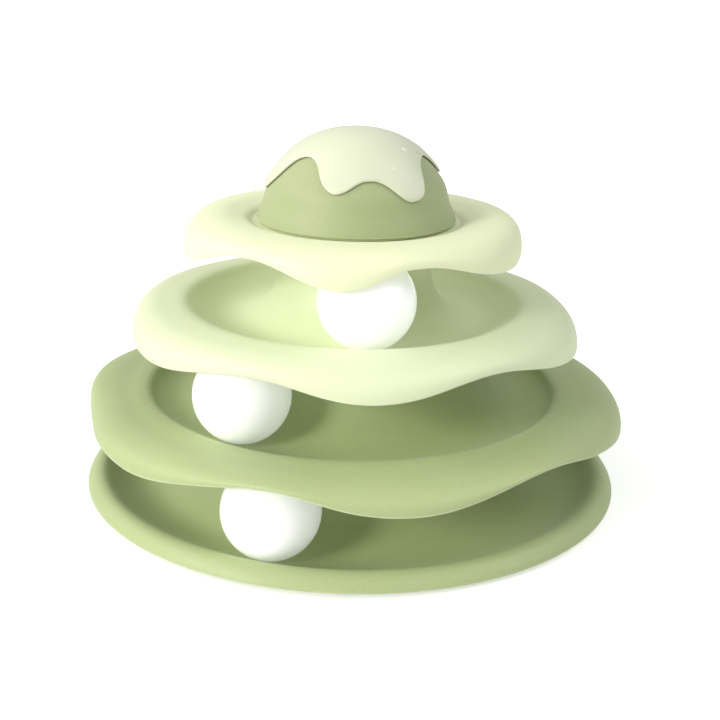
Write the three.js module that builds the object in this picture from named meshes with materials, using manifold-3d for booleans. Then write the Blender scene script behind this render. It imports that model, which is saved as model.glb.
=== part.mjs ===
// A stacked ball-track play tower for cats, in millimetres, +Z up.
// The origin is on the floor plane at the centre of the base. The front of the
// tower, as it is usually seen, faces -Y.
//
// A round base tray stands on six pads and carries a ball track. Three wavy-edged
// trays stack on it, each one plugging over a ring on the tray below, and each of
// the lower two carries a ball track of its own. A dome with a poured-icing cover
// closes the top. Every ball is a hollow two-part shell with a loose bead inside.
import * as THREE from 'three';
import { mergeVertices } from 'three/addons/utils/BufferGeometryUtils.js';
import Module from 'manifold-3d';

// ---------------------------------------------------------------- dimensions
const SEG = 36;             // steps round each tray, a multiple of four
const ICING_SEG = 60;       // finer steps, because the icing's edge wanders
const BASE_RADIUS = 125;    // outer lower edge of the base
const BASE_EDGE_Z = 2.6;    // height of that edge above the floor
const TRACK_1 = { orbit: 98, z: 22.8, at: 251.0 };   // ball centres: radius of the
const TRACK_2 = { orbit: 80, z: 63.1, at: 234.8 };   // circle, height, and the
const TRACK_3 = { orbit: 57, z: 102.6, at: 275.6 };  // angle where the ball rests
const BALL_RADIUS = 21.0;
const BALL_WALL = 2.1;
const BALL_SEAM = 0.15;     // half of the gap between the two shell halves
const VIEW_TILT = 17;       // the seam of a resting ball faces up by this many degrees
const BELL_RADIUS = 4.5;
const BELL_DROP = 12.5;     // bead centre below the ball centre
const PAD_RADIUS = 4.6;
const PAD_HEIGHT = 2.7;
const PAD_CIRCLE = 115.6;
const PAD_COUNT = 6;
const WALL = 1.6;           // wall of the moulded trays
const BRIM_POWER = 2.6;     // fullness of the rolled brim's section
const DECK_1 = 41.0;        // top of the base's hub, under the first tray
const DECK_2 = 78.8;
const DECK_3 = 119.5;
const DECK_4 = 125.1;       // floor that the dome stands on
const RING_1 = { inner: 56.6, outer: 58.6, top: 47.5 };
const RING_2 = { inner: 36.0, outer: 38.0, top: 83.0 };
const RING_3 = { inner: 23.0, outer: 25.0, top: 123.1 };
const RING_GAP = 0.4;       // between a ring and the collar that plugs over it
const COLLAR_WALL = 2.0;
const SEAT_GAP = 0.3;       // between a collar's end and the surface below
const KEY_WIDTH = 4.0;
const KEY_ANGLES = [90, 210, 330];

// Wavy brims: radius and lower edge height against the angle, in degrees from +X.
const BRIM_1_RADIUS = [[193, 121.9], [213, 124.5], [250, 122], [282, 126.5], [318, 123], [346, 126.1],
  [5, 127], [20, 126.3], [36, 124], [54, 125.5], [76, 123], [100, 125], [126, 123], [150, 125.4],
  [168, 126], [181, 124.2]];
const BRIM_1_EDGE = [[198, 34.4], [206, 34.9], [214, 35.0], [222, 34.2], [230, 35.3], [238, 38.0],
  [246, 40.6], [254, 42.5], [262, 40.9], [270, 37.3], [278, 35.5], [286, 35.8], [294, 38.4],
  [302, 41.6], [310, 43.3], [318, 42.1], [326, 39.1], [334, 36.6], [342, 34.5], [351, 33.8],
  [12, 37.5], [32, 42], [50, 39], [68, 36], [86, 39.5], [105, 42.5], [123, 39.3], [141, 36],
  [158, 39], [172, 40.5], [186, 37]];
const BRIM_2_RADIUS = [[191, 101.8], [215, 104.5], [247, 101.5], [277, 105], [307, 101.7],
  [335, 104.2], [350, 103.5], [30, 102], [60, 104.5], [90, 102], [120, 104.5], [150, 102.5],
  [172, 102]];
const BRIM_2_EDGE = [[206, 74.9], [214, 74.6], [222, 75.1], [230, 77.1], [238, 79.3], [246, 80.3],
  [254, 79.3], [262, 76.5], [270, 74.3], [278, 74.1], [286, 75.8], [294, 78.7], [302, 80.6],
  [310, 80.3], [318, 78.1], [326, 75.6], [334, 73.9], [342, 72.9], [352, 73.1], [10, 76.3],
  [30, 80], [60, 74.8], [90, 80], [120, 74.8], [150, 80], [172, 77.5], [190, 75.2]];
const BRIM_3_RADIUS = [[188, 77.9], [210, 78.4], [238, 76.3], [267, 79.5], [296, 76.3],
  [322, 78.4], [343, 76.6], [355, 75.2], [30, 76.5], [60, 78], [90, 76.5], [120, 78], [150, 77]];
const BRIM_3_EDGE = [[207, 113.1], [214, 116.0], [221, 118.7], [228, 120.5], [235, 121.0],
  [242, 120.1], [250, 117.3], [258, 114], [267, 112.4], [276, 115.4], [284, 119.8], [291, 120.8],
  [298, 120.3], [305, 118.3], [312, 115.9], [319, 114.2], [326, 113.4], [334, 113.4], [342, 115.0],
  [352, 117.6], [5, 119.6], [30, 120.5], [60, 115], [90, 120.5], [120, 115], [150, 120],
  [175, 115.5], [190, 112.8], [198, 112.3]];
// Height of the poured icing's edge against the angle.
const ICING_EDGE = [[191, 140.3], [197, 142.2], [202, 145.2], [208.4, 150.7], [212.6, 153.6],
  [217.4, 155.2], [223.6, 156.0], [229.3, 155.8], [235.3, 154.6], [240.7, 152.1], [246, 147.9],
  [251.3, 144.9], [257.4, 143.6], [264.5, 145.1], [272, 147.9], [278.9, 148.8], [284, 148.6],
  [288.6, 147.5], [293.2, 145.5], [297.5, 143.1], [301.2, 141.3], [305.2, 140.3], [309.3, 140.5],
  [313.6, 141.6], [317, 144.2], [319.7, 147.5], [322.4, 150.5], [325.6, 153.2], [329, 154.9],
  [333.8, 156.2], [340, 156.6], [345.5, 155.3], [350.5, 152.7], [356, 148.9], [4, 145.6], [12, 144.4],
  [22, 146.3], [37, 151.5], [50, 145.5], [62, 141.2], [77, 146.5], [93, 152.5], [109, 146.5],
  [125, 142], [139, 147], [152, 151], [165, 144.5], [178, 140.2]];

// Dome section, outside, from the apex down: radius and height.
const DOME_OUT = [[0, 165.7], [5, 165.5], [11.2, 164.6], [17, 162.9], [23.2, 160], [28.7, 156.2],
  [33.2, 151.6], [36.9, 147], [40.1, 142], [42, 135.3], [44.4, 129.3], [45.7, 125.4]];
const DOME_IN = [[43.7, 125.4], [42.3, 129], [39.9, 135], [37.2, 143.7], [31.9, 150.7],
  [24.8, 156.6], [16.2, 160.7], [8, 163], [0, 163.6]];
const ICING_GAP = 0.6;      // between the icing cover and the dome
const ICING_WALL = 0.95;

// ------------------------------------------------------------------- helpers
const rad = THREE.MathUtils.degToRad;

// A smooth closed curve through [degrees, value] knots: natural periodic cubic.
function periodic(knots) {
  const k = knots.map((p) => [...p]).sort((a, b) => a[0] - b[0]);
  const n = k.length;
  const x = k.map((p) => p[0]);
  const y = k.map((p) => p[1]);
  const h = x.map((v, i) => (i < n - 1 ? x[i + 1] : x[0] + 360) - v);
  // second derivatives by a dense solve, which is small enough here
  const A = Array.from({ length: n }, () => new Float64Array(n + 1));
  for (let i = 0; i < n; i++) {
    const p = (i + n - 1) % n;
    const q = (i + 1) % n;
    A[i][p] += h[p] / 6;
    A[i][i] += (h[p] + h[i]) / 3;
    A[i][q] += h[i] / 6;
    A[i][n] = (y[q] - y[i]) / h[i] - (y[i] - y[p]) / h[p];
  }
  for (let i = 0; i < n; i++) {
    let best = i;
    for (let j = i + 1; j < n; j++) if (Math.abs(A[j][i]) > Math.abs(A[best][i])) best = j;
    [A[i], A[best]] = [A[best], A[i]];
    for (let j = 0; j < n; j++) {
      if (j === i) continue;
      const f = A[j][i] / A[i][i];
      if (f !== 0) for (let m = i; m <= n; m++) A[j][m] -= f * A[i][m];
    }
  }
  const M = A.map((row, i) => row[n] / row[i]);
  return (deg) => {
    let d = deg;
    while (d < x[0]) d += 360;
    while (d >= x[0] + 360) d -= 360;
    let i = n - 1;
    while (i > 0 && x[i] > d) i--;
    const j = (i + 1) % n;
    const b = (d - x[i]) / h[i];
    const a = 1 - b;
    return a * y[i] + b * y[j] + (((a * a * a - a) * M[i] + (b * b * b - b) * M[j]) * h[i] * h[i]) / 6;
  };
}

// Only positions, shared vertices, no collapsed triangles, faces pointing out.
function tidy(geometry) {
  geometry.deleteAttribute('normal');
  geometry.deleteAttribute('uv');
  const merged = mergeVertices(geometry, 1e-4);
  const src = merged.index.array;
  const keep = [];
  for (let t = 0; t < src.length; t += 3) {
    const [a, b, c] = [src[t], src[t + 1], src[t + 2]];
    if (a !== b && b !== c && c !== a) keep.push(a, b, c);
  }
  const p = merged.attributes.position;
  const A = new THREE.Vector3();
  const B = new THREE.Vector3();
  const C = new THREE.Vector3();
  let volume = 0;
  for (let t = 0; t < keep.length; t += 3) {
    A.fromBufferAttribute(p, keep[t]);
    B.fromBufferAttribute(p, keep[t + 1]);
    C.fromBufferAttribute(p, keep[t + 2]);
    volume += A.dot(B.cross(C));
  }
  if (volume < 0) for (let t = 0; t < keep.length; t += 3) [keep[t + 1], keep[t + 2]] = [keep[t + 2], keep[t + 1]];
  const out = new THREE.BufferGeometry();
  out.setAttribute('position', new THREE.BufferAttribute(new Float32Array(p.array), 3));
  out.setIndex(keep);
  return out;
}

// Turns a section round +Z. The section may change with the angle.
function revolve(sectionAt, seg) {
  const first = sectionAt(0);
  const geometry = new THREE.LatheGeometry(first.map(([r, z]) => new THREE.Vector2(r, z)), seg);
  geometry.rotateX(Math.PI / 2);
  const p = geometry.attributes.position;
  const n = first.length;
  for (let i = 0; i <= seg; i++) {
    const deg = ((i % seg) * 360) / seg - 90;
    const section = sectionAt(deg);
    for (let j = 0; j < n; j++) {
      const [r, z] = section[j];
      p.setXYZ(i * n + j, r * Math.cos(rad(deg)), r * Math.sin(rad(deg)), z);
    }
  }
  return tidy(geometry);
}

const wasm = await Module();
wasm.setup();

function solid(geometry) {
  return new wasm.Manifold(new wasm.Mesh({
    numProp: 3,
    vertProperties: new Float32Array(geometry.attributes.position.array),
    triVerts: new Uint32Array(geometry.index.array),
  }));
}

function surface(manifold) {
  const mesh = manifold.getMesh();
  const out = new THREE.BufferGeometry();
  const count = mesh.vertProperties.length / mesh.numProp;
  const xyz = new Float32Array(count * 3);
  for (let i = 0; i < count; i++) for (let k = 0; k < 3; k++) xyz[3 * i + k] = mesh.vertProperties[i * mesh.numProp + k];
  out.setAttribute('position', new THREE.BufferAttribute(xyz, 3));
  out.setIndex(Array.from(mesh.triVerts));
  return tidy(out);
}

// A block between two radii, on a ray from the axis.
function radialBlock(deg, r0, r1, width, z0, z1) {
  const box = new THREE.BoxGeometry(r1 - r0, width, z1 - z0);
  box.translate((r0 + r1) / 2, 0, (z0 + z1) / 2);
  box.rotateZ(rad(deg));
  return solid(tidy(box));
}

// Adds the three locating ribs to a ring, or cuts their slots in a collar.
function withKeys(geometry, ring, shoulder) {
  let body = solid(geometry);
  for (const deg of KEY_ANGLES) {
    body = body.add(radialBlock(deg, ring.outer - 0.6, ring.outer + 1.8, KEY_WIDTH, shoulder - 0.5, ring.top - 0.9));
  }
  return surface(body);
}
function withSlots(geometry, ring, shoulder, reach) {
  let body = solid(geometry);
  for (const deg of KEY_ANGLES) {
    body = body.subtract(radialBlock(deg, ring.outer + 0.1, ring.outer + reach, KEY_WIDTH + 0.8, shoulder - 1, ring.top - 0.2));
  }
  return surface(body);
}

// A rolled, wavy brim: from the crest outwards and down, then back inside.
// crest = [radius, height]; the section is a quarter of a full superellipse.
const BRIM_STEPS = [20, 40, 58, 75, 90];
const BRIM_STEPS_IN = [90, 62, 30];
function brimPoint(crest, edgeRadius, edgeZ, deg, inset) {
  const e = 2 / BRIM_POWER;
  const c = Math.max(Math.cos(rad(deg)), 0);
  return [
    crest[0] + (edgeRadius - inset - crest[0]) * Math.sin(rad(deg)) ** e,
    edgeZ + (crest[1] - edgeZ - inset) * c ** e,
  ];
}
function brim(crest, radiusAt, edgeAt, back, wall) {
  return (deg) => {
    const lift = 0.5 * (1 + Math.sin(rad(deg))) * back;
    const top = [crest[0], crest[1] + lift];
    const R = radiusAt(deg);
    const Z = edgeAt(deg);
    const out = [top, ...BRIM_STEPS.map((a) => brimPoint(top, R, Z, a, 0))];
    const inside = BRIM_STEPS_IN.map((a) => brimPoint(top, R, Z, a, wall));
    return [...out, ...inside];
  };
}

const material = (color, roughness) => new THREE.MeshStandardMaterial({ color, roughness, metalness: 0 });
const tower = new THREE.Group();
function add(name, geometry, look, parent = tower) {
  const mesh = new THREE.Mesh(geometry, look);
  mesh.name = name;
  parent.add(mesh);
  return mesh;
}

// ------------------------------------------------------------------ base tray
// A hub with a ring on top, a ball track round it and a rolled outer rim.
const baseSection = [
  [0, DECK_1], [RING_1.inner, DECK_1], [RING_1.inner, RING_1.top], [RING_1.outer, RING_1.top],
  [RING_1.outer, DECK_1], [66.5, DECK_1],
  [70.5, 37.0], [73.4, 30.5], [76.2, 19], [80.3, 9.8], [85.3, 5.2], [90.5, 2.4], [95.3, 1.35],
  [100.7, 1.35], [105.5, 2.45], [110, 4.7], [114.6, 7.9], [117.6, 9.2], [121.8, 8.1], [124.2, 5.6],
  [BASE_RADIUS, BASE_EDGE_Z],
  [123.5, BASE_EDGE_Z], [122.8, 3.0], [110.8, 3.0], [105.2, 1.1], [100.7, 0.15], [95.3, 0.15],
  [90, 1.0], [84.1, 3.8], [78.9, 8.6], [74.4, 18.6], [71.5, 30], [68.9, 35.9], [65.8, 39], [0, 39],
];
add('base_tray', withKeys(revolve(() => baseSection, SEG), RING_1, DECK_1), material('#b4c78d', 0.55));

for (let i = 0; i < PAD_COUNT; i++) {
  const deg = 30 + (i * 360) / PAD_COUNT;
  const pad = new THREE.CylinderGeometry(PAD_RADIUS, PAD_RADIUS, PAD_HEIGHT, 14);
  pad.rotateX(Math.PI / 2);
  add(`foot_pad_${i + 1}`, tidy(pad), material('#5f6a52', 0.85))
    .position.set(PAD_CIRCLE * Math.cos(rad(deg)), PAD_CIRCLE * Math.sin(rad(deg)), PAD_HEIGHT / 2);
}

// ----------------------------------------------------------------- lower tier
const brim1 = brim([95.1, 46.7], periodic(BRIM_1_RADIUS), periodic(BRIM_1_EDGE), 1.0, WALL);
const c1 = RING_1.outer + RING_GAP;
const lowerSection = (deg) => [
  [0, DECK_2], [RING_2.inner, DECK_2], [RING_2.inner, RING_2.top], [RING_2.outer, RING_2.top],
  [RING_2.outer, DECK_2], [54.5, DECK_2],
  [56.6, 75.5], [57.7, 66], [58.7, 58.5], [61.3, 52.0], [66, 46.2], [72, 42.8], [77.5, 41.65],
  [82.5, 41.65], [88, 42.9], [92, 44.75],
  ...brim1(deg),
  [95.1, 45.1], [91.4, 43.2], [87.6, 41.55], [82.4, 40.2], [77.4, 40.2], [71.5, 41.35], [65.2, 44.9],
  [c1 + COLLAR_WALL, 49.9], [c1 + COLLAR_WALL, DECK_1 + SEAT_GAP], [c1, DECK_1 + SEAT_GAP],
  [c1, 53.6], [57.1, 58.1], [55.9, 65.8], [54.9, 74.9], [53.6, 76.9], [0, 76.9],
];
add('lower_tier', withSlots(withKeys(revolve(lowerSection, SEG), RING_2, DECK_2), RING_1, DECK_1, 3.2),
  material('#b4c68b', 0.55));

// ---------------------------------------------------------------- middle tier
const brim2 = brim([78, 88.4], periodic(BRIM_2_RADIUS), periodic(BRIM_2_EDGE), 1.2, WALL);
const c2 = RING_2.outer + RING_GAP;
const middleSection = (deg) => [
  [0, DECK_3], [RING_3.inner, DECK_3], [RING_3.inner, RING_3.top], [RING_3.outer, RING_3.top],
  [RING_3.outer, DECK_3], [33.4, DECK_3],
  [34.6, 112], [35, 104], [36.2, 96.8], [38.9, 90.8], [43.4, 85.7], [49, 82.5], [54.5, 81.15],
  [59.5, 81.15], [64.5, 82.2], [69.5, 84.3], [73.6, 86.6],
  ...brim2(deg),
  [78, 86.8], [74, 84.9], [69.6, 82.7], [64.6, 80.6], [59.5, 79.65], [54.3, 79.65], [48.4, 81],
  [43.2, 83.7], [c2 + COLLAR_WALL, 86.2], [c2 + COLLAR_WALL, DECK_2 + SEAT_GAP], [c2, DECK_2 + SEAT_GAP],
  [c2, 88.2], [36.9, 91.6], [34.7, 97.2], [33.5, 104], [33.1, 112], [32.1, 117.8], [0, 117.8],
];
add('middle_tier', withSlots(withKeys(revolve(middleSection, SEG), RING_3, DECK_3), RING_2, DECK_2, 2.9),
  material('#e6f1c6', 0.55));

// ----------------------------------------------------------------- upper tier
const brim3 = brim([60, 127.5], periodic(BRIM_3_RADIUS), periodic(BRIM_3_EDGE), 1.6, WALL);
const c3 = RING_3.outer + RING_GAP;
const upperSection = (deg) => [
  [0, DECK_4], [40.4, DECK_4], [40.4, 129.0], [41.7, 129.0], [43.0, DECK_4], [46.8, DECK_4],
  [48.7, 125.9], [51, 126.8], [54.5, 127.35],
  ...brim3(deg),
  [60, 125.9], [54.5, 125.75], [51, 125.2], [48.6, 124.3], [46.8, DECK_4 - WALL],
  [c3 + COLLAR_WALL, DECK_4 - WALL], [c3 + COLLAR_WALL, DECK_3 + SEAT_GAP], [c3, DECK_3 + SEAT_GAP],
  [c3, DECK_4 - WALL], [0, DECK_4 - WALL],
];
add('upper_tier', withSlots(revolve(upperSection, SEG), RING_3, DECK_3, 3.0), material('#f2fad6', 0.55));

// ------------------------------------------------------------ dome and icing
add('dome_cap', revolve(() => [...DOME_OUT, ...DOME_IN], SEG), material('#b9c893', 0.5));

// The icing follows the dome at a small gap, from the apex to its own edge.
function offsetAt(points, s, distance) {
  // s runs along the polyline; distance is measured along its outward normal
  let left = s;
  for (let i = 0; i < points.length - 1; i++) {
    const [a, b] = [points[i], points[i + 1]];
    const len = Math.hypot(b[0] - a[0], b[1] - a[1]);
    if (left <= len || i === points.length - 2) {
      const t = Math.min(left / len, 1);
      const normal = (j) => {
        const u = points[Math.max(j - 1, 0)];
        const v = points[Math.min(j + 1, points.length - 1)];
        if (j === 0) return [0, 1];
        const d = Math.hypot(v[0] - u[0], v[1] - u[1]);
        return [-(v[1] - u[1]) / d, (v[0] - u[0]) / d];
      };
      const [na, nb] = [normal(i), normal(i + 1)];
      return [
        a[0] + (b[0] - a[0]) * t + distance * (na[0] + (nb[0] - na[0]) * t),
        a[1] + (b[1] - a[1]) * t + distance * (na[1] + (nb[1] - na[1]) * t),
      ];
    }
    left -= len;
  }
  return points[points.length - 1];
}
function lengthTo(points, z) {
  let s = 0;
  for (let i = 0; i < points.length - 1; i++) {
    const [a, b] = [points[i], points[i + 1]];
    const len = Math.hypot(b[0] - a[0], b[1] - a[1]);
    if (b[1] <= z) return s + (len * (a[1] - z)) / (a[1] - b[1]);
    s += len;
  }
  return s;
}
const icingEdge = periodic(ICING_EDGE);
const ICING_ROWS = [0, 0.2, 0.4, 0.58, 0.76, 0.9, 1];
const icingSection = (deg) => {
  const end = lengthTo(DOME_OUT, icingEdge(deg));
  const outer = ICING_ROWS.map((k) => {
    const p = offsetAt(DOME_OUT, k * end, ICING_GAP + ICING_WALL * (k === 1 ? 0.6 : 1));
    return k === 0 ? [0, p[1]] : p;
  });
  const inner = [...ICING_ROWS].reverse().map((k) => {
    const p = offsetAt(DOME_OUT, k * end, ICING_GAP);
    return k === 0 ? [0, p[1]] : p;
  });
  return [...outer, ...inner];
};
add('icing_cover', revolve(icingSection, ICING_SEG), material('#e8efd0', 0.45));

// --------------------------------------------------------------------- balls
function shellHalf() {
  const R = BALL_RADIUS;
  const r = BALL_RADIUS - BALL_WALL;
  const outer = [0, 23, 46, 69].map((a) => [R * Math.sin(rad(a)), R * Math.cos(rad(a))]);
  outer.push([Math.sqrt(R * R - BALL_SEAM * BALL_SEAM), BALL_SEAM]);
  const inner = [[Math.sqrt(r * r - BALL_SEAM * BALL_SEAM), BALL_SEAM]];
  for (const a of [62, 31, 0]) inner.push([r * Math.sin(rad(a)), r * Math.cos(rad(a))]);
  return revolve(() => [...outer, ...inner], 16);
}
[TRACK_1, TRACK_2, TRACK_3].forEach((track, i) => {
  const carrier = new THREE.Group();
  carrier.position.set(track.orbit * Math.cos(rad(track.at)), track.orbit * Math.sin(rad(track.at)), track.z);
  tower.add(carrier);
  const front = new THREE.Vector3(0, -Math.cos(rad(VIEW_TILT)), Math.sin(rad(VIEW_TILT)));
  const up = new THREE.Vector3(0, 0, 1);
  const white = material('#fbfcfb', 0.3);
  add(`ball_${i + 1}_shell_a`, shellHalf(), white, carrier).quaternion.setFromUnitVectors(up, front);
  add(`ball_${i + 1}_shell_b`, shellHalf(), white, carrier).quaternion.setFromUnitVectors(up, front.clone().negate());
  add(`ball_${i + 1}_bell`, tidy(new THREE.SphereGeometry(BELL_RADIUS, 10, 6)), material('#c9c9c4', 0.35), carrier)
    .position.set(0, 0, -BELL_DROP);
});

export default tower;
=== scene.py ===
import math

import bmesh
import bpy
import numpy as np
from mathutils import Matrix, Vector


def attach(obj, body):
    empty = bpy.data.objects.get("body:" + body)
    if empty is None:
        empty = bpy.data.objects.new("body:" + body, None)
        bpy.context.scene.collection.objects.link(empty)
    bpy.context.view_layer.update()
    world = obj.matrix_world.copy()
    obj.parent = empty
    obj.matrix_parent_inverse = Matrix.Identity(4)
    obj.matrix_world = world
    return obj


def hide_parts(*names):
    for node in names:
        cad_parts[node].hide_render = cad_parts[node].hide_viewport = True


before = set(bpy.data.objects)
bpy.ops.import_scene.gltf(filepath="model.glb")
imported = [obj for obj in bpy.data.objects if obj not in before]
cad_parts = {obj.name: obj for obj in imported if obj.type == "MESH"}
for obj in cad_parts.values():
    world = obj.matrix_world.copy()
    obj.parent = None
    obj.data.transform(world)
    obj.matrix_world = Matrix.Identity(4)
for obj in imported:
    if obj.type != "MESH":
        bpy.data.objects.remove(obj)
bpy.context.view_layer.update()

MM = 0.001
scene = bpy.context.scene

# ------------------------------------------------------------------ dimensions
# Millimetres, the same as the CAD part. Angles are degrees from +X; the front is 270.
BALL_RADIUS = 21.0
TRACKS = [(98.0, 22.8, 251.0), (80.0, 63.1, 234.8), (57.0, 102.6, 275.6)]
RING_1 = (56.6, 58.6, 47.5)
RING_2 = (36.0, 38.0, 83.0)
RING_3 = (23.0, 25.0, 123.1)
DECK_1, DECK_2, DECK_3, DECK_4 = 41.0, 78.8, 119.5, 125.1
KEYS = (90.0, 210.0, 330.0)
BRIM_POWER = 2.6
WALL = 1.6

BRIM_1_RADIUS = [(193, 121.9), (213, 124.5), (250, 122), (282, 126.5), (318, 123), (346, 126.1),
                 (5, 127), (20, 126.3), (36, 124), (54, 125.5), (76, 123), (100, 125), (126, 123),
                 (150, 125.4), (168, 126), (181, 124.2)]
BRIM_1_EDGE = [(198, 34.4), (206, 34.9), (214, 35.0), (222, 34.2), (230, 35.3), (238, 38.0),
               (246, 40.6), (254, 42.5), (262, 40.9), (270, 37.3), (278, 35.5), (286, 35.8),
               (294, 38.4), (302, 41.6), (310, 43.3), (318, 42.1), (326, 39.1), (334, 36.6),
               (342, 34.5), (351, 33.8), (12, 37.5), (32, 42), (50, 39), (68, 36), (86, 39.5),
               (105, 42.5), (123, 39.3), (141, 36), (158, 39), (172, 40.5), (186, 37)]
BRIM_2_RADIUS = [(191, 101.8), (215, 104.5), (247, 101.5), (277, 105), (307, 101.7), (335, 104.2),
                 (350, 103.5), (30, 102), (60, 104.5), (90, 102), (120, 104.5), (150, 102.5),
                 (172, 102)]
BRIM_2_EDGE = [(206, 74.9), (214, 74.6), (222, 75.1), (230, 77.1), (238, 79.3), (246, 80.3),
               (254, 79.3), (262, 76.5), (270, 74.3), (278, 74.1), (286, 75.8), (294, 78.7),
               (302, 80.6), (310, 80.3), (318, 78.1), (326, 75.6), (334, 73.9), (342, 72.9),
               (352, 73.1), (10, 76.3), (30, 80), (60, 74.8), (90, 80), (120, 74.8), (150, 80),
               (172, 77.5), (190, 75.2)]
BRIM_3_RADIUS = [(188, 77.9), (210, 78.4), (238, 76.3), (267, 79.5), (296, 76.3), (322, 78.4),
                 (343, 76.6), (355, 75.2), (30, 76.5), (60, 78), (90, 76.5), (120, 78), (150, 77)]
BRIM_3_EDGE = [(207, 113.1), (214, 116.0), (221, 118.7), (228, 120.5), (235, 121.0), (242, 120.1),
               (250, 117.3), (258, 114), (267, 112.4), (276, 115.4), (284, 119.8), (291, 120.8),
               (298, 120.3), (305, 118.3), (312, 115.9), (319, 114.2), (326, 113.4), (334, 113.4),
               (342, 115.0), (352, 117.6), (5, 119.6), (30, 120.5), (60, 115), (90, 120.5),
               (120, 115), (150, 120), (175, 115.5), (190, 112.8), (198, 112.3)]
ICING_EDGE = [(191, 140.3), (197, 142.2), (202, 145.2), (208.4, 150.7), (212.6, 153.6),
              (217.4, 155.2), (223.6, 156.0), (229.3, 155.8), (235.3, 154.6), (240.7, 152.1),
              (246, 147.9), (251.3, 144.9), (257.4, 143.6), (264.5, 145.1), (272, 147.9),
              (278.9, 148.8), (284, 148.6), (288.6, 147.5), (293.2, 145.5), (297.5, 143.1),
              (301.2, 141.3), (305.2, 140.3), (309.3, 140.5), (313.8, 141.5), (316.6, 143.3),
              (318.5, 145.2), (320.5, 147.3), (322.2, 149.3), (325.2, 151.7), (328.5, 153.3),
              (332, 154.3), (336, 155.0), (341, 155.5), (346, 155.7), (350, 155.1), (354.2, 153.6),
              (358, 151.6), (2, 149.4), (7, 147.3), (13, 145.8), (19, 146.0), (27, 148.4),
              (37, 151.5), (50, 145.5), (62, 141.2), (77, 146.5), (93, 152.5),
              (109, 146.5), (125, 142), (139, 147), (152, 151), (165, 144.5), (178, 140.2)]
DOME_OUT = [(0, 165.7), (5, 165.5), (11.2, 164.6), (17, 162.9), (23.2, 160), (28.7, 156.2),
            (33.2, 151.6), (36.9, 147), (40.1, 142), (42, 135.3), (44.4, 129.3), (45.7, 125.4)]


# --------------------------------------------------------------------- curves
def natural_spline(points, per=6, first=None, last=None):
    """Points along a smooth curve through the given (r, z) points, parametrised by chord.
    first and last are optional end directions as (dr, dz)."""
    p = np.asarray(points, float)
    d = np.r_[0, np.cumsum(np.linalg.norm(np.diff(p, axis=0), axis=1))]
    n = len(p)
    h = np.diff(d)
    A = np.zeros((n, n))
    b = np.zeros((n, 2))
    for i in range(1, n - 1):
        A[i, i - 1], A[i, i], A[i, i + 1] = h[i - 1] / 6, (h[i - 1] + h[i]) / 3, h[i] / 6
        b[i] = (p[i + 1] - p[i]) / h[i] - (p[i] - p[i - 1]) / h[i - 1]
    A[0, 0] = A[-1, -1] = 1
    if first is not None:
        u = np.asarray(first, float)
        A[0, 0], A[0, 1] = h[0] / 3, h[0] / 6
        b[0] = (p[1] - p[0]) / h[0] - u / np.linalg.norm(u)
    if last is not None:
        u = np.asarray(last, float)
        A[-1, -1], A[-1, -2] = h[-1] / 3, h[-1] / 6
        b[-1] = u / np.linalg.norm(u) - (p[-1] - p[-2]) / h[-1]
    M = np.linalg.solve(A, b)
    out = []
    for i in range(n - 1):
        for k in range(per):
            t = k / per
            a = 1 - t
            out.append(a * p[i] + t * p[i + 1]
                       + ((a ** 3 - a) * M[i] + (t ** 3 - t) * M[i + 1]) * h[i] ** 2 / 6)
    out.append(p[-1])
    return np.array(out)


def periodic(knots):
    """A closed smooth curve through (degrees, value) knots."""
    k = sorted(knots)
    x = np.array([a for a, _ in k], float)
    y = np.array([v for _, v in k], float)
    n = len(k)
    h = np.append(np.diff(x), x[0] + 360 - x[-1])
    A = np.zeros((n, n))
    b = np.zeros(n)
    for i in range(n):
        p, q = (i - 1) % n, (i + 1) % n
        A[i, p] += h[p] / 6
        A[i, i] += (h[p] + h[i]) / 3
        A[i, q] += h[i] / 6
        b[i] = (y[q] - y[i]) / h[i] - (y[i] - y[p]) / h[p]
    M = np.linalg.solve(A, b)

    def at(deg):
        d = (deg - x[0]) % 360 + x[0]
        i = int(np.searchsorted(x, d, side="right") - 1)
        j = (i + 1) % n
        t = (d - x[i]) / h[i]
        a = 1 - t
        return float(a * y[i] + t * y[j]
                     + ((a ** 3 - a) * M[i] + (t ** 3 - t) * M[j]) * h[i] ** 2 / 6)

    return at


def rounded(points, steps=4):
    """A path of (r, z, radius): each corner with a radius becomes an arc of steps + 1 points."""
    out = []
    n = len(points)
    for i, (r, z, f) in enumerate(points):
        c = np.array([r, z], float)
        if f <= 0 or i in (0, n - 1):
            out.append(c)
            continue
        a = np.array(points[i - 1][:2], float) - c
        b = np.array(points[i + 1][:2], float) - c
        la, lb = np.linalg.norm(a), np.linalg.norm(b)
        if min(la, lb) < 1e-6:
            out += [c] * (steps + 1)
            continue
        ua, ub = a / la, b / lb
        half = math.acos(max(-1, min(1, float(ua @ ub)))) / 2
        if half < 1e-3:
            out += [c] * (steps + 1)
            continue
        cut = min(f / math.tan(half), 0.48 * la, 0.48 * lb)
        p, q = c + ua * cut, c + ub * cut
        for k in range(steps + 1):
            t = k / steps
            out.append((1 - t) ** 2 * p + 2 * t * (1 - t) * c + t * t * q)
    return out


def smoothstep(t):
    t = max(0.0, min(1.0, t))
    return t * t * (3 - 2 * t)


def near_key(deg, half):
    """1 within half a width of a key, 0 outside, with steep sides."""
    d = min(abs((deg - k + 180) % 360 - 180) for k in KEYS)
    return 1.0 - smoothstep((d - half) / 0.3 + 0.5)


def angle_list(count, key_halves=()):
    a = list(np.arange(count) * 360.0 / count)
    for half in key_halves:
        for k in KEYS:
            for s in (-1, 1):
                a += [(k + s * (half - 0.16)) % 360, (k + s * (half + 0.16)) % 360]
    a = sorted(set(round(v, 4) for v in a))
    keep = [a[0]]
    for v in a[1:]:
        if v - keep[-1] > 0.05:
            keep.append(v)
    return keep


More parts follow.
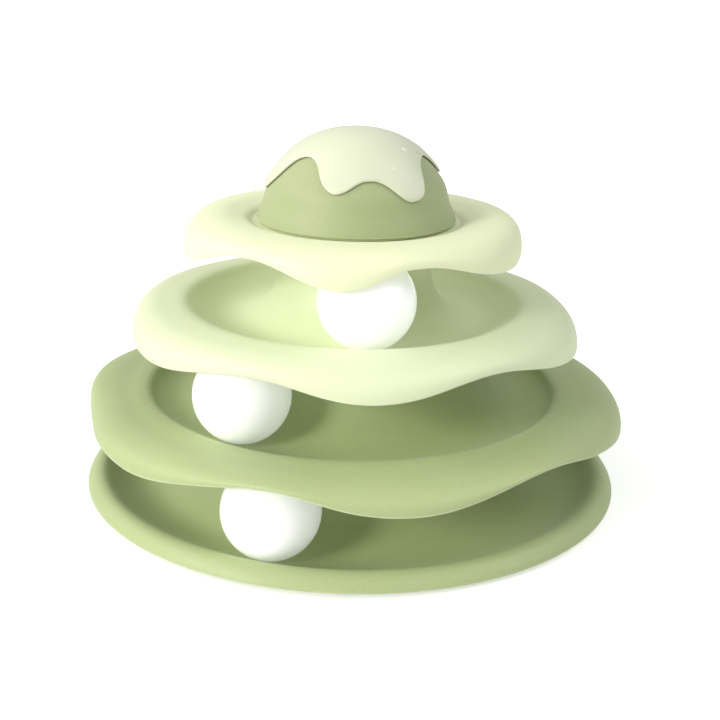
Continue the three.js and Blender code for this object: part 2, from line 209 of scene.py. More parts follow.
# --------------------------------------------------------------------- meshes
def revolve(name, section, angles, centre=(0, 0, 0), turn=None, sharp=38):
    """A closed body from sections (lists of (r, z) in mm) at the given angles. A section
    either begins and ends on the axis or closes on itself."""
    rows = [np.asarray(section(a), float) for a in angles]
    n = len(rows[0])
    verts = []
    for a, row in zip(angles, rows):
        t = math.radians(a)
        c, s = math.cos(t), math.sin(t)
        verts += [(r * c, r * s, z) for r, z in row]
    on_axis = abs(rows[0][0][0]) < 1e-9 and abs(rows[0][-1][0]) < 1e-9
    m = len(rows)
    faces = []
    span = n - 1 if on_axis else n
    for i in range(m):
        k = (i + 1) % m
        for j in range(span):
            l = (j + 1) % n
            faces.append((i * n + j, k * n + j, k * n + l, i * n + l))
    mesh = bpy.data.meshes.new(name)
    mesh.from_pydata([tuple(v) for v in verts], [], faces)
    bm = bmesh.new()
    bm.from_mesh(mesh)
    bmesh.ops.remove_doubles(bm, verts=bm.verts, dist=1e-4)
    bmesh.ops.dissolve_degenerate(bm, dist=1e-5, edges=bm.edges)
    bmesh.ops.recalc_face_normals(bm, faces=bm.faces)
    if bm.calc_volume(signed=True) < 0:
        bmesh.ops.reverse_faces(bm, faces=bm.faces)
    move = Matrix.Translation(Vector(centre))
    if turn is not None:
        move = move @ turn
    bm.transform(Matrix.Scale(MM, 4) @ move)
    limit = math.radians(sharp)
    for e in bm.edges:
        e.smooth = not (len(e.link_faces) == 2 and e.calc_face_angle(0) > limit)
    for f in bm.faces:
        f.smooth = True
    bm.to_mesh(mesh)
    bm.free()
    obj = bpy.data.objects.new(name, mesh)
    scene.collection.objects.link(obj)
    return obj


def joined(name, objects):
    """One object from several, keeping each one's geometry."""
    bm = bmesh.new()
    for o in objects:
        bm.from_mesh(o.data)
    mesh = bpy.data.meshes.new(name)
    bm.to_mesh(mesh)
    bm.free()
    for o in objects:
        bpy.data.objects.remove(o)
    obj = bpy.data.objects.new(name, mesh)
    scene.collection.objects.link(obj)
    return obj


# ------------------------------------------------------------------ materials
def node(tree, kind, **values):
    n = tree.nodes.new(kind)
    for key, value in values.items():
        if key in n.inputs:
            n.inputs[key].default_value = value
        else:
            setattr(n, key, value)
    return n


def plastic(name, base, dark, light, rough=0.48, rough_spread=0.07, grain=1.0, coat=0.0,
            specular=0.46, wear_and_highlight=0.9, sheen=0.10, painted_glow=0.0,
            wear_and_highlight_below=None, painted_glints=()):
    """Moulded plastic. base, dark and light are linear colours. It has a slow drift of
    colour from the resin, a fine speckle, a spark-eroded mould texture, slight sinking over
    the wall, and paler edges, partly rubbed wear and partly a painted edge highlight.
    Small pale marks can be painted on as glints that stand in for highlights, and an
    emission gives a painted glow to a part that is no lamp."""
    mat = bpy.data.materials.new(name)
    mat.use_nodes = True
    t = mat.node_tree
    t.nodes.clear()
    link = t.links.new
    out = node(t, "ShaderNodeOutputMaterial")
    bsdf = node(t, "ShaderNodeBsdfPrincipled")
    link(bsdf.outputs["BSDF"], out.inputs["Surface"])
    bsdf.inputs["Metallic"].default_value = 0.0
    bsdf.inputs["IOR"].default_value = 1.46
    bsdf.inputs["Specular IOR Level"].default_value = specular
    bsdf.inputs["Coat Weight"].default_value = coat
    bsdf.inputs["Coat Roughness"].default_value = 0.12
    bsdf.inputs["Sheen Weight"].default_value = sheen
    bsdf.inputs["Sheen Roughness"].default_value = 0.5
    bsdf.inputs["Sheen Tint"].default_value = (0.97, 0.98, 0.94, 1)
    bsdf.inputs["Emission Color"].default_value = (0.98, 1.0, 1.0, 1)
    # painted glow: emission that brightens a part that is no lamp
    bsdf.inputs["Emission Strength"].default_value = painted_glow

    where = node(t, "ShaderNodeTexCoord").outputs["Object"]

    drift = node(t, "ShaderNodeTexNoise", Scale=11.0, Detail=3.0, Roughness=0.5)
    link(where, drift.inputs["Vector"])
    drift_map = node(t, "ShaderNodeMapRange")
    drift_map.inputs["From Min"].default_value = 0.32
    drift_map.inputs["From Max"].default_value = 0.68
    link(drift.outputs["Fac"], drift_map.inputs["Value"])
    tone = node(t, "ShaderNodeMix", data_type="RGBA")
    tone.inputs["A"].default_value = (*dark, 1)
    tone.inputs["B"].default_value = (*base, 1)
    link(drift_map.outputs["Result"], tone.inputs["Factor"])

    speck = node(t, "ShaderNodeTexNoise", Scale=1500.0, Detail=2.0, Roughness=0.6)
    link(where, speck.inputs["Vector"])
    speck_map = node(t, "ShaderNodeMapRange")
    speck_map.inputs["From Min"].default_value = 0.3
    speck_map.inputs["From Max"].default_value = 0.7
    speck_map.inputs["To Min"].default_value = 0.0
    speck_map.inputs["To Max"].default_value = 0.22
    link(speck.outputs["Fac"], speck_map.inputs["Value"])
    fine = node(t, "ShaderNodeMix", data_type="RGBA")
    fine.inputs["B"].default_value = (*[0.5 * (a + b) for a, b in zip(base, light)], 1)
    link(speck_map.outputs["Result"], fine.inputs["Factor"])
    link(tone.outputs["Result"], fine.inputs["A"])

    # Paler edges from pointiness: partly rubbed wear, partly a painted highlight, the thin light line along the
    # lower lips of the brims.
    geometry = node(t, "ShaderNodeNewGeometry")
    edge = node(t, "ShaderNodeMapRange")
    edge.inputs["From Min"].default_value = 0.512
    edge.inputs["From Max"].default_value = 0.545
    edge.inputs["To Max"].default_value = wear_and_highlight
    link(geometry.outputs["Pointiness"], edge.inputs["Value"])
    breakup = node(t, "ShaderNodeTexNoise", Scale=160.0, Detail=4.0, Roughness=0.65)
    link(where, breakup.inputs["Vector"])
    patchy = node(t, "ShaderNodeMapRange")
    patchy.inputs["From Min"].default_value = 0.3
    patchy.inputs["From Max"].default_value = 0.6
    patchy.inputs["To Min"].default_value = 0.45
    link(breakup.outputs["Fac"], patchy.inputs["Value"])
    wear_and_highlight_mask = node(t, "ShaderNodeMath", operation="MULTIPLY")
    link(edge.outputs["Result"], wear_and_highlight_mask.inputs[0])
    link(patchy.outputs["Result"], wear_and_highlight_mask.inputs[1])
    if wear_and_highlight_below is not None:      # only the lower part, where the edges are, gets the rubbed wear and the painted edge highlight
        height = node(t, "ShaderNodeSeparateXYZ")
        link(where, height.inputs["Vector"])
        low = node(t, "ShaderNodeMapRange")
        low.inputs["From Min"].default_value = wear_and_highlight_below * MM
        low.inputs["From Max"].default_value = (wear_and_highlight_below + 2.0) * MM
        low.inputs["To Min"].default_value = 1.0
        low.inputs["To Max"].default_value = 0.0
        link(height.outputs["Z"], low.inputs["Value"])
        here = node(t, "ShaderNodeMath", operation="MULTIPLY")
        link(wear_and_highlight_mask.outputs["Value"], here.inputs[0])
        link(low.outputs["Result"], here.inputs[1])
        wear_and_highlight_mask = here
    colour = node(t, "ShaderNodeMix", data_type="RGBA")
    colour.inputs["B"].default_value = (*light, 1)
    link(wear_and_highlight_mask.outputs["Value"], colour.inputs["Factor"])
    link(fine.outputs["Result"], colour.inputs["A"])
    for x, y, z, size, strength in painted_glints:       # painted glints: small pale spots that stand in for highlights, in mm
        away = node(t, "ShaderNodeVectorMath", operation="DISTANCE")
        link(where, away.inputs[0])
        away.inputs[1].default_value = (x * MM, y * MM, z * MM)
        close = node(t, "ShaderNodeMapRange", interpolation_type="SMOOTHSTEP")
        close.inputs["From Min"].default_value = 0.2 * size * MM
        close.inputs["From Max"].default_value = size * MM
        close.inputs["To Min"].default_value = strength
        close.inputs["To Max"].default_value = 0.0
        link(away.outputs["Value"], close.inputs["Value"])
        glinted = node(t, "ShaderNodeMix", data_type="RGBA")
        glinted.inputs["B"].default_value = (0.93, 0.98, 0.90, 1)
        link(close.outputs["Result"], glinted.inputs["Factor"])
        link(colour.outputs["Result"], glinted.inputs["A"])
        colour = glinted
    link(colour.outputs["Result"], bsdf.inputs["Base Color"])

    smear = node(t, "ShaderNodeTexNoise", Scale=45.0, Detail=5.0, Roughness=0.6)
    link(where, smear.inputs["Vector"])
    gloss = node(t, "ShaderNodeMapRange")
    gloss.inputs["From Min"].default_value = 0.3
    gloss.inputs["From Max"].default_value = 0.7
    gloss.inputs["To Min"].default_value = rough - rough_spread
    gloss.inputs["To Max"].default_value = rough + rough_spread
    link(smear.outputs["Fac"], gloss.inputs["Value"])
    link(gloss.outputs["Result"], bsdf.inputs["Roughness"])

    spark = node(t, "ShaderNodeTexNoise", Scale=2400.0, Detail=2.0, Roughness=0.5)
    link(where, spark.inputs["Vector"])
    sink = node(t, "ShaderNodeTexNoise", Scale=28.0, Detail=1.0, Roughness=0.4)
    link(where, sink.inputs["Vector"])
    bump_slow = node(t, "ShaderNodeBump", Strength=0.25)
    bump_slow.inputs["Distance"].default_value = 0.0004
    link(sink.outputs["Fac"], bump_slow.inputs["Height"])
    bump_fine = node(t, "ShaderNodeBump", Strength=0.16 * grain)
    bump_fine.inputs["Distance"].default_value = 0.00008
    link(spark.outputs["Fac"], bump_fine.inputs["Height"])
    link(bump_slow.outputs["Normal"], bump_fine.inputs["Normal"])
    link(bump_fine.outputs["Normal"], bsdf.inputs["Normal"])
    return mat


def shade(c, k):
    return tuple(max(0.0, min(1.0, v * k)) for v in c)


SAGE = (0.408, 0.490, 0.230)
LIME = (0.720, 0.790, 0.520)
CREAM = (0.805, 0.860, 0.555)
DOME = (0.375, 0.425, 0.222)
ICING = (0.665, 0.708, 0.528)
sage = plastic("sage_satin_plastic", SAGE, shade(SAGE, 0.955), (0.74, 0.80, 0.56))
lime = plastic("lime_satin_plastic", LIME, shade(LIME, 0.97), (0.90, 0.95, 0.76))
cream = plastic("cream_satin_plastic", CREAM, shade(CREAM, 0.975), (0.95, 0.97, 0.80))
dome_mat = plastic("dome_satin_plastic", DOME, shade(DOME, 0.955), (0.66, 0.74, 0.48), rough=0.44,
                   specular=0.3)
# The icing's two pale spots are painted glints that stand in for highlights. Its lower lips get the rubbed wear
# and the painted edge highlight.
icing_mat = plastic("icing_satin_plastic", ICING, shade(ICING, 0.975), (0.93, 0.95, 0.80),
                    rough=0.34, grain=0.5, wear_and_highlight_below=157.5,
                    painted_glints=((20.27, -16.12, 160.24, 1.7, 0.9), (15.84, -29.18, 153.95, 1.3, 0.4)))
# The balls' emission is a painted glow that keeps them bright white on their shaded sides.
white = plastic("ball_white_plastic", (0.95, 0.955, 0.955), (0.92, 0.925, 0.93), (0.97, 0.97, 0.97),
                rough=0.24, rough_spread=0.05, grain=0.25, coat=0.15, specular=0.5, sheen=0.0,
                painted_glow=0.26)
grey = plastic("bead_grey_plastic", (0.56, 0.56, 0.54), (0.48, 0.48, 0.47), (0.68, 0.68, 0.66),
               rough=0.3, grain=0.4)
rubber = plastic("pad_green_rubber", (0.075, 0.095, 0.055), (0.055, 0.07, 0.042), (0.13, 0.15, 0.10),
                 rough=0.78, rough_spread=0.1, grain=2.5, specular=0.3)


def dress(obj, mat):
    obj.data.materials.clear()
    obj.data.materials.append(mat)
    return obj


# ------------------------------------------------------------------ base tray
RIB_1 = math.degrees(2.0 / 59.0)
RIB_2 = math.degrees(2.0 / 38.5)
RIB_3 = math.degrees(2.0 / 25.5)
SLOT_1 = math.degrees(2.4 / 60.0)
SLOT_2 = math.degrees(2.4 / 39.4)
SLOT_3 = math.degrees(2.4 / 26.4)


def ring_path(inner, outer, top, deck, rib):
    """Deck, locating ring and back to the deck. rib is 1 on a key and 0 elsewhere."""
    o = outer + 1.8 * rib
    t = top - 0.9 * rib
    return [(0, deck, 0), (inner, deck, 0.8), (inner, top, 0.6), (outer - 0.5, top, 0.3),
            (outer, t, 0.25), (o, t, 0.5), (o, deck, 0.8)]


TRAY_TOP = natural_spline([(66.0, 40.95), (68.6, 39.6), (70.9, 36.4), (73.4, 30.5), (76.2, 19),
                           (80.3, 9.8), (85.3, 5.2), (90.5, 2.45), (95.3, 1.4), (100.7, 1.4),
                           (105.5, 2.5), (110, 4.7), (114.6, 7.9)], per=5, first=(1, -0.25),
                          last=(0.84, 0.54))
TRAY_RIM = natural_spline([(114.6, 7.9), (116.6, 8.95), (118.4, 9.2), (121.4, 8.1), (123.7, 5.7),
                           (124.9, 3.3)], per=5, first=(0.84, 0.54), last=(0.25, -1))
TRAY_UNDER = natural_spline([(110.4, 3.0), (105.2, 1.1), (100.7, 0.25), (95.3, 0.25), (90, 1.05),
                             (84.1, 3.8), (78.9, 8.6), (74.4, 18.6), (71.5, 30), (68.9, 35.9),
                             (66.2, 38.6)], per=4)


def base_section(deg):
    rib = near_key(deg, RIB_1)
    path = rounded(ring_path(*RING_1, DECK_1, rib) + [(64.5, DECK_1, 0)])[:-1]
    path += list(TRAY_TOP) + list(TRAY_RIM[1:])
    path += rounded([(124.9, 3.3, 0), (124.95, 2.6, 0.4), (123.6, 2.6, 0.2), (122.8, 3.0, 0.2),
                     (112, 3.0, 0)])[1:]
    path += list(TRAY_UNDER)
    path += [(64.6, 39.0), (0, 39.0)]
    return path


base = dress(revolve("base_tray_shell", base_section, angle_list(240, (RIB_1,))), sage)
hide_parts("base_tray")
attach(base, "base")

# ------------------------------------------------------------------- foot pads
PAD_PATH = rounded([(0, 0.35, 0), (2.6, 0.35, 0.2), (3.0, 0.0, 0.25), (4.55, 0.0, 0.45),
                    (4.6, 2.7, 0.3), (0, 2.7, 0)], steps=5)
for i in range(6):
    t = math.radians(30 + 60 * i)
    pad = revolve(f"rubber_pad_{i + 1}", lambda a: PAD_PATH, angle_list(40),
                  centre=(115.6 * math.cos(t), 115.6 * math.sin(t), 0))
    dress(pad, rubber)
    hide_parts(f"foot_pad_{i + 1}")
    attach(pad, "base")


# ----------------------------------------------------------------------- tiers
def brim_point(crest, edge_r, edge_z, deg, inset):
    e = 2 / BRIM_POWER
    c = max(math.cos(math.radians(deg)), 0.0)
    s = math.sin(math.radians(deg))
    return (crest[0] + (edge_r - inset - crest[0]) * s ** e,
            edge_z + (crest[1] - edge_z - inset) * c ** e)


def lip(outer, inner, z, steps=6):
    """The rounded lower edge between the outside and the inside of a brim."""
    mid, half = (outer + inner) / 2, (outer - inner) / 2
    return [(mid + half * math.cos(math.pi * k / steps), z + half * (1 - math.sin(math.pi * k / steps)))
            for k in range(steps + 1)]


def tier_outside(floor, crest, radius, edge, lift_back, deg, entry):
    """From the hub over the track and the crest to the brim's edge, as one smooth curve."""
    lift = 0.5 * (1 + math.sin(math.radians(deg))) * lift_back
    top = (crest[0], crest[1] + lift)
    R, Z = radius(deg), edge(deg)
    outer = [brim_point(top, R, Z + 0.8, a, 0) for a in (14, 27, 40, 52, 63, 74, 83, 90)]
    pts = list(floor) + [top] + outer
    return natural_spline(pts, per=4, first=entry, last=(0, -1)), top, R, Z


def tier_inside(top, R, Z, wall):
    return [brim_point(top, R, Z + 0.8, a, wall) for a in (90, 78, 66, 54, 42, 30, 18)]


c1 = RING_1[1] + 0.4
c2 = RING_2[1] + 0.4
c3 = RING_3[1] + 0.4
brim_1_r, brim_1_z = periodic(BRIM_1_RADIUS), periodic(BRIM_1_EDGE)
brim_2_r, brim_2_z = periodic(BRIM_2_RADIUS), periodic(BRIM_2_EDGE)
brim_3_r, brim_3_z = periodic(BRIM_3_RADIUS), periodic(BRIM_3_EDGE)

LOWER_FLOOR = [(54.6, 78.35), (56.0, 76.9), (56.8, 74), (57.7, 66), (58.7, 58.5), (61.3, 52.0), (66.0, 46.2),
               (72, 42.8), (77.5, 41.7), (82.5, 41.7), (88, 42.95), (92, 44.8)]
LOWER_UNDER = natural_spline([(91.4, 43.2), (87.6, 41.55), (82.4, 40.25), (77.4, 40.25), (71.5, 41.35),
                              (65.2, 44.9), (61.9, 48.9)], per=4)
LOWER_HUB = natural_spline([(58.95, 54.0), (57.1, 58.1), (55.9, 65.8), (54.9, 74.2)], per=4)


def lower_section(deg):
    rib = near_key(deg, RIB_2)
    slot = near_key(deg, SLOT_1)
    outside, top, R, Z = tier_outside(LOWER_FLOOR, (95.1, 46.7), brim_1_r, brim_1_z, 1.0, deg,
                                      (0.9, -0.45))
    path = rounded(ring_path(*RING_2, DECK_2, rib) + [(53.0, DECK_2, 0)])
    path += list(outside)
    path += lip(R, R - WALL, Z)[1:-1]
    path += tier_inside(top, R, Z, WALL)
    path += [(95.1, 45.1 + (top[1] - 46.7) * 0.6)]
    path += list(LOWER_UNDER)
    foot = DECK_1 + 0.3 + 6.0 * slot
    path += rounded([(61.9, 48.9, 0), (c1 + 2.0, 49.7, 0.3), (c1 + 2.0, foot, 0.5), (c1, foot, 0.5),
                     (c1, 53.4, 0)])[1:]
    path += list(LOWER_HUB)
    path += rounded([(54.9, 74.2, 0), (54.4, 76.9, 1.0), (40, 76.9, 0), (0, 76.9, 0)])[1:]
    return path


lower = dress(revolve("lower_tier_shell", lower_section, angle_list(240, (RIB_2, SLOT_1))), sage)
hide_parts("lower_tier")
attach(lower, "lower")

MIDDLE_FLOOR = [(33.4, 119.05), (34.2, 117.4), (34.6, 112), (35.0, 104), (36.2, 96.8), (38.9, 90.8), (43.4, 85.7),
                (49, 82.5), (54.5, 81.2), (59.5, 81.2), (64.5, 82.25), (69.5, 84.35), (73.6, 86.6)]
MIDDLE_UNDER = natural_spline([(74, 84.9), (69.6, 82.7), (64.6, 80.6), (59.5, 79.7), (54.3, 79.7),
                               (48.4, 81.0), (43.2, 83.7), (41.2, 85.3)], per=4)
MIDDLE_HUB = natural_spline([(38.35, 88.3), (36.9, 91.6), (34.7, 97.2), (33.5, 104), (33.1, 112),
                             (32.6, 115.5)], per=4)


def middle_section(deg):
    rib = near_key(deg, RIB_3)
    slot = near_key(deg, SLOT_2)
    outside, top, R, Z = tier_outside(MIDDLE_FLOOR, (78.0, 88.4), brim_2_r, brim_2_z, 1.2, deg,
                                      (0.9, -0.45))
    path = rounded(ring_path(*RING_3, DECK_3, rib) + [(32.0, DECK_3, 0)])
    path += list(outside)
    path += lip(R, R - WALL, Z)[1:-1]
    path += tier_inside(top, R, Z, WALL)
    path += [(78.0, 86.8 + (top[1] - 88.4) * 0.6)]
    path += list(MIDDLE_UNDER)
    foot = DECK_2 + 0.3 + 3.9 * slot
    path += rounded([(41.2, 85.3, 0), (c2 + 2.0, 85.9, 0.2), (c2 + 2.0, foot, 0.45), (c2, foot, 0.45),
                     (c2, 88.0, 0)])[1:]
    path += list(MIDDLE_HUB)
    path += rounded([(32.6, 115.5, 0), (32.2, 117.8, 0.8), (20, 117.8, 0), (0, 117.8, 0)])[1:]
    return path


middle = dress(revolve("middle_tier_shell", middle_section, angle_list(240, (RIB_3, SLOT_2))), lime)
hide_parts("middle_tier")
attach(middle, "middle")

UPPER_FLOOR = [(46.9, 125.1), (48.7, 125.85), (51, 126.75), (54.5, 127.35)]
UPPER_UNDER = natural_spline([(56, 125.8), (53, 125.55), (50, 124.85), (46.8, 123.5)], per=4)


def upper_section(deg):
    slot = near_key(deg, SLOT_3)
    outside, top, R, Z = tier_outside(UPPER_FLOOR, (60.0, 127.5), brim_3_r, brim_3_z, 1.6, deg, (1, 0.02))
    path = rounded([(0, DECK_4, 0), (40.4, DECK_4, 0.8), (40.4, 129.0, 0.6), (41.7, 129.0, 0.6),
                    (43.0, DECK_4, 0.6), (45.4, DECK_4, 0)])
    path += list(outside)
    path += lip(R, R - WALL, Z)[1:-1]
    path += tier_inside(top, R, Z, WALL)
    path += [(60.0, 125.9 + (top[1] - 127.5) * 0.6)]
    path += list(UPPER_UNDER)
    foot = DECK_3 + 0.3 + 3.2 * slot
    path += rounded([(46.8, 123.5, 0), (c3 + 2.0, 123.5, 0.25), (c3 + 2.0, foot, 0.4), (c3, foot, 0.4),
                     (c3, 123.5, 0.25), (0, 123.5, 0)])[1:]
    return path


upper = dress(revolve("upper_tier_shell", upper_section, angle_list(240, (SLOT_3,))), cream)
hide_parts("upper_tier")
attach(upper, "upper")

# ------------------------------------------------------------- dome and icing
DOME_LINE = natural_spline(DOME_OUT, per=6, first=(1, 0))
DOME_INSIDE = natural_spline([(43.7, 126.6), (42.3, 129.6), (39.9, 135), (38.2, 141), (35.4, 146.2),
                              (31.9, 150.7), (24.8, 156.6), (16.2, 160.7), (8, 163),
                              (0, 163.6)], per=4, last=(-1, 0))


def dome_section(deg):
    # the foot is cut back a little under its outer edge, which leaves a dark seam on the tray
    path = list(DOME_LINE[:-2])
    path += rounded([tuple(DOME_LINE[-3]) + (0,), (45.45, 126.6, 0.3), (44.4, 126.4, 0.2),
                     (44.4, 125.4, 0.1), (43.9, 125.4, 0.2), (43.7, 126.6, 0)])[1:]
    path += list(DOME_INSIDE[1:])
    return path


dome = dress(revolve("dome_shell", dome_section, angle_list(240)), dome_mat)
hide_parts("dome_cap")
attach(dome, "dome")

# arc length and outward normals along the dome, for the icing that follows it
_seg = np.linalg.norm(np.diff(DOME_LINE, axis=0), axis=1)
_arc = np.r_[0, np.cumsum(_seg)]
_tan = np.gradient(DOME_LINE, axis=0)
_nrm = np.stack([-_tan[:, 1], _tan[:, 0]], 1)
_nrm /= np.linalg.norm(_nrm, axis=1, keepdims=True)
_nrm[0] = (0, 1)


def on_dome(s, off):
    r = np.interp(s, _arc, DOME_LINE[:, 0]) + off * np.interp(s, _arc, _nrm[:, 0])
    z = np.interp(s, _arc, DOME_LINE[:, 1]) + off * np.interp(s, _arc, _nrm[:, 1])
    return (0.0 if s < 1e-9 else float(r), float(z))


icing_z = periodic(ICING_EDGE)


def icing_section(deg):
    end = float(np.interp(-icing_z(deg), -DOME_LINE[:, 1], _arc))
    thick, nose = 1.55, 0.8
    crown = 0.02

    def gap(s):
        return 0.15 + 0.40 * smoothstep((s - (end - 6.0)) / 3.5)

    s0 = end - 2.4 * nose
    path = [on_dome(s0 * k, thick) for k in np.linspace(0, 1, 27)]
    path.append(on_dome(s0 + 0.8 * nose, thick + crown))
    for k in range(9):
        a = math.pi / 2 * k / 8
        path.append(on_dome(end - 1.2 * nose + 1.2 * nose * math.sin(a),
                            0.72 + (thick - 0.72) * math.cos(a)))
    path.append(on_dome(end - 0.22, gap(end) + 0.03))
    path += [on_dome(s, gap(s)) for s in np.linspace(end - 0.9, end - 6.0, 6)]
    path += [on_dome((end - 6.5) * k, 0.15) for k in np.linspace(1, 0, 18)]
    return path


icing = dress(revolve("icing_shell", icing_section, angle_list(540)), icing_mat)
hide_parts("icing_cover")
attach(icing, "dome")


# ----------------------------------------------------------------------- balls
def half_shell_path():
    R, r = BALL_RADIUS, BALL_RADIUS - 2.1
    seam = 0.08
    outer = [(R * math.sin(t), R * math.cos(t)) for t in np.linspace(0, math.radians(88.6), 34)]
    outer[0] = (0.0, R)
    lip_path = rounded([outer[-1] + (0,), (R - 0.02, 0.34, 0.15), (R - 0.30, seam, 0.12),
                        (R - 1.0, seam, 0), (R - 1.0, seam, 0), (r, seam, 0.2),
                        (r * math.sin(math.radians(87)), r * math.cos(math.radians(87)), 0)])[1:]
    inner = [(r * math.sin(t), r * math.cos(t)) for t in np.linspace(math.radians(85), 0, 20)]
    inner[-1] = (0.0, r)
    return outer + [tuple(p) for p in lip_path] + inner


HALF = half_shell_path()
TILT = math.radians(17)
FRONT = Vector((0, -math.cos(TILT), math.sin(TILT)))


def facing(direction):
    return Vector((0, 0, 1)).rotation_difference(direction).to_matrix().to_4x4()


BEAD_PATH = rounded([(0, 4.1, 0), (0.7, 4.1, 0.3), (1.1, 4.42, 0.3)], steps=3)
BEAD_PATH = [(0, 4.05), (0.5, 4.08), (0.9, 4.25)] + [
    (4.5 * math.sin(t), 4.5 * math.cos(t)) for t in np.linspace(math.radians(15), math.radians(84), 14)]
BEAD_PATH = BEAD_PATH + [(4.38, 0.25), (4.38, -0.25)] + [(r, -z) for r, z in reversed(BEAD_PATH)]

for i, (orbit, height, at) in enumerate(TRACKS, start=1):
    a = math.radians(at)
    centre = (orbit * math.cos(a), orbit * math.sin(a), height)
    for side, direction in (("a", FRONT), ("b", -FRONT)):
        shell = revolve(f"ball_{i}_half_{side}", lambda _: HALF, angle_list(72), centre=centre,
                        turn=facing(direction))
        dress(shell, white)
        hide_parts(f"ball_{i}_shell_{side}")
        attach(shell, f"ball_{i}")
    bead = revolve(f"ball_{i}_bead", lambda _: BEAD_PATH, angle_list(36),
                   centre=(centre[0], centre[1], centre[2] - 12.5))
    dress(bead, grey)
    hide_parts(f"ball_{i}_bell")
    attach(bead, f"ball_{i}_centre")

# ----------------------------------------------------------------- the studio
FILL_LOW, FILL_HIGH = 0.04, 0.57
PANELS = [  # name, irradiance, direction the light travels, angular width, colour
    ("key_panel", 0.82, (0.85, 0.30, -0.60), 30, (1.0, 0.965, 0.905)),
    ("front_panel", 1.70, (0.72, 0.62, -0.33), 15, (1.0, 0.985, 0.955)),
    ("right_panel", 1.12, (-0.72, 0.06, -0.69), 50, (0.97, 0.985, 1.0)),
    ("left_panel", 0.66, (0.76, -0.20, -0.62), 44, (1.0, 0.98, 0.95)),
]
ground = bpy.data.meshes.new("studio_floor")
bm = bmesh.new()
bmesh.ops.create_grid(bm, x_segments=24, y_segments=24, size=14.0)
bm.to_mesh(ground)
bm.free()
floor = bpy.data.objects.new("studio_floor", ground)
scene.collection.objects.link(floor)
floor_mat = bpy.data.materials.new("studio_floor_pale")
floor_mat.use_nodes = True
ft = floor_mat.node_tree
fb = ft.nodes["Principled BSDF"]
fb.inputs["Roughness"].default_value = 0.9
fb.inputs["Specular IOR Level"].default_value = 0.1
fb.inputs["Emission Color"].default_value = (1, 1, 1, 1)
fb.inputs["Emission Strength"].default_value = 0.44
fn = node(ft, "ShaderNodeTexNoise", Scale=3.0, Detail=2.0)
fc = node(ft, "ShaderNodeTexCoord")
fm = node(ft, "ShaderNodeMix", data_type="RGBA")
fm.inputs["A"].default_value = (0.955, 0.955, 0.955, 1)
fm.inputs["B"].default_value = (0.97, 0.97, 0.97, 1)
ft.links.new(fc.outputs["Object"], fn.inputs["Vector"])
ft.links.new(fn.outputs["Fac"], fm.inputs["Factor"])
ft.links.new(fm.outputs["Result"], fb.inputs["Base Color"])
# what the object catches from the floor is dimmer than what the camera sees of it
f_dim = node(ft, "ShaderNodeBsdfDiffuse")
f_dim.inputs["Color"].default_value = (0.62, 0.62, 0.60, 1)
f_glow = node(ft, "ShaderNodeEmission", Strength=0.26)
f_glow.inputs["Color"].default_value = (1, 1, 1, 1)
f_sum = node(ft, "ShaderNodeAddShader")
ft.links.new(f_dim.outputs["BSDF"], f_sum.inputs[0])
ft.links.new(f_glow.outputs["Emission"], f_sum.inputs[1])
f_path = node(ft, "ShaderNodeLightPath")
f_mix = node(ft, "ShaderNodeMixShader")
ft.links.new(f_path.outputs["Is Camera Ray"], f_mix.inputs["Fac"])
ft.links.new(f_sum.outputs["Shader"], f_mix.inputs[1])
ft.links.new(fb.outputs["BSDF"], f_mix.inputs[2])
ft.links.new(f_mix.outputs["Shader"], ft.nodes["Material Output"].inputs["Surface"])
floor.data.materials.append(floor_mat)

world = bpy.data.worlds.new("studio_world")
scene.world = world
world.use_nodes = True
wt = world.node_tree
wt.nodes.clear()
w_out = node(wt, "ShaderNodeOutputWorld")
w_light = node(wt, "ShaderNodeBackground")
w_light.inputs["Color"].default_value = (1.0, 0.99, 0.95, 1)
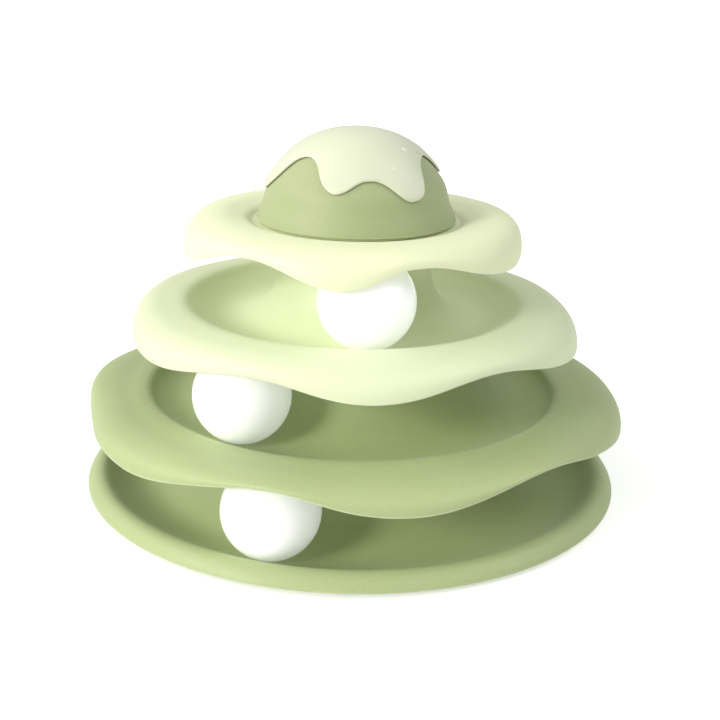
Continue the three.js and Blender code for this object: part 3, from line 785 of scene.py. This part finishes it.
# the room is brighter on the left, where the large window-like panel stands
w_dir = node(wt, "ShaderNodeTexCoord")
w_dot = node(wt, "ShaderNodeVectorMath", operation="DOT_PRODUCT")
w_dot.inputs[1].default_value = (-0.62, -0.40, 0.67)
wt.links.new(w_dir.outputs["Generated"], w_dot.inputs[0])
w_ramp = node(wt, "ShaderNodeMapRange", interpolation_type="SMOOTHSTEP")
w_ramp.inputs["From Min"].default_value = -0.9
w_ramp.inputs["From Max"].default_value = 1.0
w_ramp.inputs["To Min"].default_value = FILL_LOW
w_ramp.inputs["To Max"].default_value = FILL_HIGH
wt.links.new(w_dot.outputs["Value"], w_ramp.inputs["Value"])
wt.links.new(w_ramp.outputs["Result"], w_light.inputs["Strength"])
w_seen = node(wt, "ShaderNodeBackground", Strength=1.05)
w_seen.inputs["Color"].default_value = (1, 1, 1, 1)
w_path = node(wt, "ShaderNodeLightPath")
w_mix = node(wt, "ShaderNodeMixShader")
w_gloss = node(wt, "ShaderNodeBackground", Strength=0.60)
w_gloss.inputs["Color"].default_value = (1, 1, 1, 1)
w_pick = node(wt, "ShaderNodeMixShader")
wt.links.new(w_path.outputs["Is Glossy Ray"], w_pick.inputs["Fac"])
wt.links.new(w_light.outputs["Background"], w_pick.inputs[1])
wt.links.new(w_gloss.outputs["Background"], w_pick.inputs[2])
wt.links.new(w_path.outputs["Is Camera Ray"], w_mix.inputs["Fac"])
wt.links.new(w_pick.outputs["Shader"], w_mix.inputs[1])
wt.links.new(w_seen.outputs["Background"], w_mix.inputs[2])
wt.links.new(w_mix.outputs["Shader"], w_out.inputs["Surface"])

for name, energy, towards, spread, colour in PANELS:
    panel_data = bpy.data.lights.new(name, "SUN")
    panel_data.energy = energy
    panel_data.angle = math.radians(spread)
    panel_data.color = colour
    panel = bpy.data.objects.new(name, panel_data)
    scene.collection.objects.link(panel)
    panel.location = Vector(towards) * -2.0
    panel.rotation_euler = Vector(towards).to_track_quat("-Z", "Y").to_euler()

cam_data = bpy.data.cameras.new("photo_camera")
cam_data.sensor_width = 36.0
cam_data.lens = 62.5
cam_data.clip_start = 0.01
cam_data.dof.use_dof = False
camera = bpy.data.objects.new("photo_camera", cam_data)
scene.collection.objects.link(camera)
tilt, roll = math.radians(18.636), math.radians(-1.364)
w = Vector((0, math.cos(tilt), -math.sin(tilt)))
right = Vector((1, 0, 0))
up = right.cross(w)
r_axis = math.cos(roll) * right - math.sin(roll) * up
u_axis = math.sin(roll) * right + math.cos(roll) * up
place = Vector((3.31, 0, 57.65)) - 591.22 * w
camera.matrix_world = Matrix((
    (r_axis.x, u_axis.x, -w.x, place.x * MM),
    (r_axis.y, u_axis.y, -w.y, place.y * MM),
    (r_axis.z, u_axis.z, -w.z, place.z * MM),
    (0, 0, 0, 1)))
scene.camera = camera
scene.view_settings.view_transform = "Standard"
scene.view_settings.look = "None"
